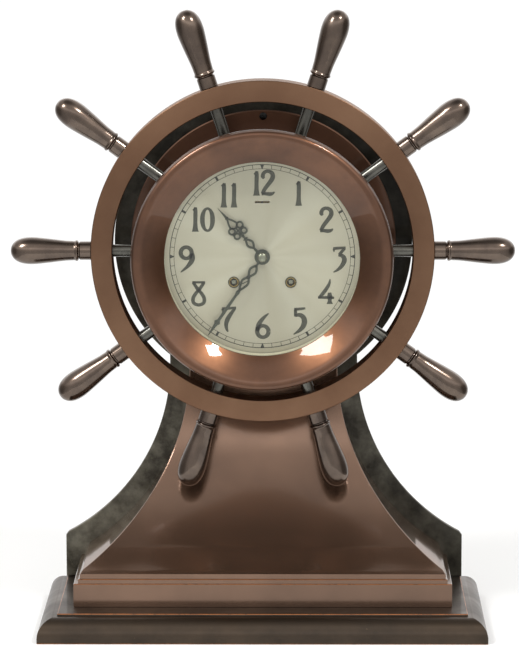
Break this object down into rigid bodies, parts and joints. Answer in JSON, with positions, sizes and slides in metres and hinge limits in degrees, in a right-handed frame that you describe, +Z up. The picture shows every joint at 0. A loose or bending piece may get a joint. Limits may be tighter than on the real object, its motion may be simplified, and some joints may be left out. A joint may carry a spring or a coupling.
{
  "type": "ships deck clock",
  "caption": "Striking clock in a round case with a hinged glazed bezel, framed by a ship's wheel with turned handles, on a swept pedestal and moulded plinth.",
  "frame": {"origin": "middle of the plinth's underside, on the surface the clock stands on", "axes": "+Z up, -Y out of the dial, +X to the right of the dial as it is read"},
  "size_m": [0.555, 0.225, 0.6794],
  "materials": {
    "bronze_brown": "polished brown-patinated bronze, lacquered",
    "bronze_dark": "dark green-brown patinated bronze, dull",
    "bronze_plinth": "dark brown patinated bronze, satin",
    "bronze_handle": "dark brown bronze, glossy lacquer",
    "bronze_rim": "satin copper-brown bronze",
    "bronze_bezel": "polished copper-brown bronze",
    "felt": "green felt sheet",
    "steel": "plain steel",
    "blued_steel": "blackened steel",
    "yellow_brass": "machined brass",
    "silvered": "silvered and brushed",
    "glass": "clear flat glass",
    "bell_metal": "polished bell metal"
  },
  "bodies": {
    "stand_and_case": {"plinth": "bronze_plinth", "base_felt": "felt", "pedestal_bolt_left": "steel", "pedestal_bolt_right": "steel", "pedestal_back": "bronze_dark", "pedestal_front": "bronze_brown", "case_drum": "bronze_brown", "flange_screw_1": "blued_steel", "flange_screw_2": "blued_steel", "flange_screw_3": "blued_steel", "wheel_rim": "bronze_rim", "spoke_handle_01": "bronze_handle", "spoke_handle_02": "bronze_handle", "spoke_handle_03": "bronze_handle", "spoke_handle_04": "bronze_handle", "spoke_handle_05": "bronze_handle", "spoke_handle_06": "bronze_handle", "spoke_handle_07": "bronze_handle", "spoke_handle_08": "bronze_handle", "spoke_handle_09": "bronze_handle", "spoke_handle_10": "bronze_handle", "hinge_case_leaf": "yellow_brass", "hinge_pin": "steel", "bezel_catch": "blued_steel", "dial_plate": "silvered", "grommet_left": "yellow_brass", "grommet_right": "yellow_brass", "movement_front_plate": "yellow_brass", "movement_back_plate": "yellow_brass", "movement_pillar_1": "yellow_brass", "movement_pillar_2": "yellow_brass", "movement_pillar_3": "yellow_brass", "movement_pillar_4": "yellow_brass", "balance_cock": "yellow_brass", "bell": "bell_metal", "bell_post": "steel"},
    "bezel_door": {"bezel": "bronze_bezel", "bezel_glass": "glass", "sight_ring": "silvered", "hinge_bezel_leaf": "yellow_brass"},
    "minute_train": {"centre_wheel": "yellow_brass", "minute_hand": "blued_steel", "hand_nut": "steel"},
    "hour_train": {"hour_wheel": "yellow_brass", "hour_hand": "blued_steel"},
    "minute_wheel": {"minute_wheel": "yellow_brass"},
    "second_wheel": {"second_wheel": "yellow_brass"},
    "time_barrel": {"time_barrel": "yellow_brass"},
    "third_wheel": {"third_wheel": "yellow_brass"},
    "escape_wheel": {"escape_wheel": "yellow_brass"},
    "pallet_fork": {"pallet_fork": "steel"},
    "balance_wheel": {"balance_wheel": "yellow_brass"},
    "time_winding_arbor": {"time_winding_arbor": "steel"},
    "strike_winding_arbor": {"strike_winding_arbor": "steel"},
    "strike_barrel": {"strike_barrel": "yellow_brass"},
    "strike_pin_wheel": {"strike_pin_wheel": "yellow_brass"},
    "strike_fly": {"strike_fly": "yellow_brass"},
    "strike_hammer": {"strike_hammer": "steel"},
    "regulator_lever": {"regulator_lever": "blued_steel"}
  },
  "joints": [
    {"name": "bezel_hinge", "type": "hinge", "parent": "stand_and_case", "child": "bezel_door", "pos_m": [-0.137, -0.0527, 0.415], "axis": [0, 0, -1], "range_deg": [0, 110]},
    {"name": "minute_hand_turn", "type": "hinge", "parent": "stand_and_case", "child": "minute_train", "pos_m": [0, -0.0447, 0.415], "axis": [0, 1, 0], "continuous": true},
    {"name": "hour_hand_turn", "type": "hinge", "parent": "stand_and_case", "child": "hour_train", "pos_m": [0, -0.0427, 0.415], "axis": [0, 1, 0], "continuous": true},
    {"name": "minute_wheel_turn", "type": "hinge", "parent": "stand_and_case", "child": "minute_wheel", "pos_m": [0, -0.0127, 0.39075], "axis": [0, 1, 0], "continuous": true},
    {"name": "second_wheel_turn", "type": "hinge", "parent": "stand_and_case", "child": "second_wheel", "pos_m": [0.02376, -0.0127, 0.41987], "axis": [0, 1, 0], "continuous": true},
    {"name": "time_barrel_turn", "type": "hinge", "parent": "stand_and_case", "child": "time_barrel", "pos_m": [0.031, -0.0127, 0.3868], "axis": [0, 1, 0], "continuous": true},
    {"name": "third_wheel_turn", "type": "hinge", "parent": "stand_and_case", "child": "third_wheel", "pos_m": [0, -0.0127, 0.43925], "axis": [0, 1, 0], "continuous": true},
    {"name": "escape_wheel_turn", "type": "hinge", "parent": "stand_and_case", "child": "escape_wheel", "pos_m": [-0.0184, -0.0127, 0.44988], "axis": [0, 1, 0], "continuous": true},
    {"name": "pallet_fork_swing", "type": "hinge", "parent": "stand_and_case", "child": "pallet_fork", "pos_m": [-0.00852, -0.0277, 0.4537], "axis": [0, 1, 0], "range_deg": [-6, 6]},
    {"name": "balance_swing", "type": "hinge", "parent": "stand_and_case", "child": "balance_wheel", "pos_m": [0, -0.0307, 0.457], "axis": [0, 1, 0], "range_deg": [-135, 135], "stiffness_Nm_per_rad": 0.00002},
    {"name": "time_winding", "type": "hinge", "parent": "stand_and_case", "child": "time_winding_arbor", "pos_m": [0.031, -0.0127, 0.3868], "axis": [0, 1, 0], "continuous": true},
    {"name": "strike_winding", "type": "hinge", "parent": "stand_and_case", "child": "strike_winding_arbor", "pos_m": [-0.031, -0.0127, 0.3868], "axis": [0, 1, 0], "continuous": true},
    {"name": "strike_barrel_turn", "type": "hinge", "parent": "stand_and_case", "child": "strike_barrel", "pos_m": [-0.031, -0.0127, 0.3868], "axis": [0, 1, 0], "continuous": true},
    {"name": "strike_pin_wheel_turn", "type": "hinge", "parent": "stand_and_case", "child": "strike_pin_wheel", "pos_m": [-0.02376, -0.0127, 0.41987], "axis": [0, 1, 0], "continuous": true},
    {"name": "strike_fly_turn", "type": "hinge", "parent": "stand_and_case", "child": "strike_fly", "pos_m": [-0.03388, -0.0127, 0.4374], "axis": [0, 1, 0], "continuous": true},
    {"name": "strike_hammer_swing", "type": "hinge", "parent": "stand_and_case", "child": "strike_hammer", "pos_m": [-0.06, 0.0173, 0.393], "axis": [0, -1, 0], "range_deg": [0, 15], "stiffness_Nm_per_rad": 0.02},
    {"name": "regulator_adjust", "type": "hinge", "parent": "stand_and_case", "child": "regulator_lever", "pos_m": [0, -0.0357, 0.457], "axis": [0, 1, 0], "range_deg": [-10, 10]}
  ],
  "couplings": [
    {"joint": "hour_hand_turn", "follows": "minute_hand_turn", "ratio": 0.083333},
    {"joint": "minute_wheel_turn", "follows": "minute_hand_turn", "ratio": -0.33333},
    {"joint": "second_wheel_turn", "follows": "minute_hand_turn", "ratio": -0.2},
    {"joint": "time_barrel_turn", "follows": "minute_hand_turn", "ratio": 0.033333},
    {"joint": "third_wheel_turn", "follows": "minute_hand_turn", "ratio": -5},
    {"joint": "escape_wheel_turn", "follows": "minute_hand_turn", "ratio": 30},
    {"joint": "strike_pin_wheel_turn", "follows": "strike_barrel_turn", "ratio": -6},
    {"joint": "strike_fly_turn", "follows": "strike_barrel_turn", "ratio": 24}
  ]
}
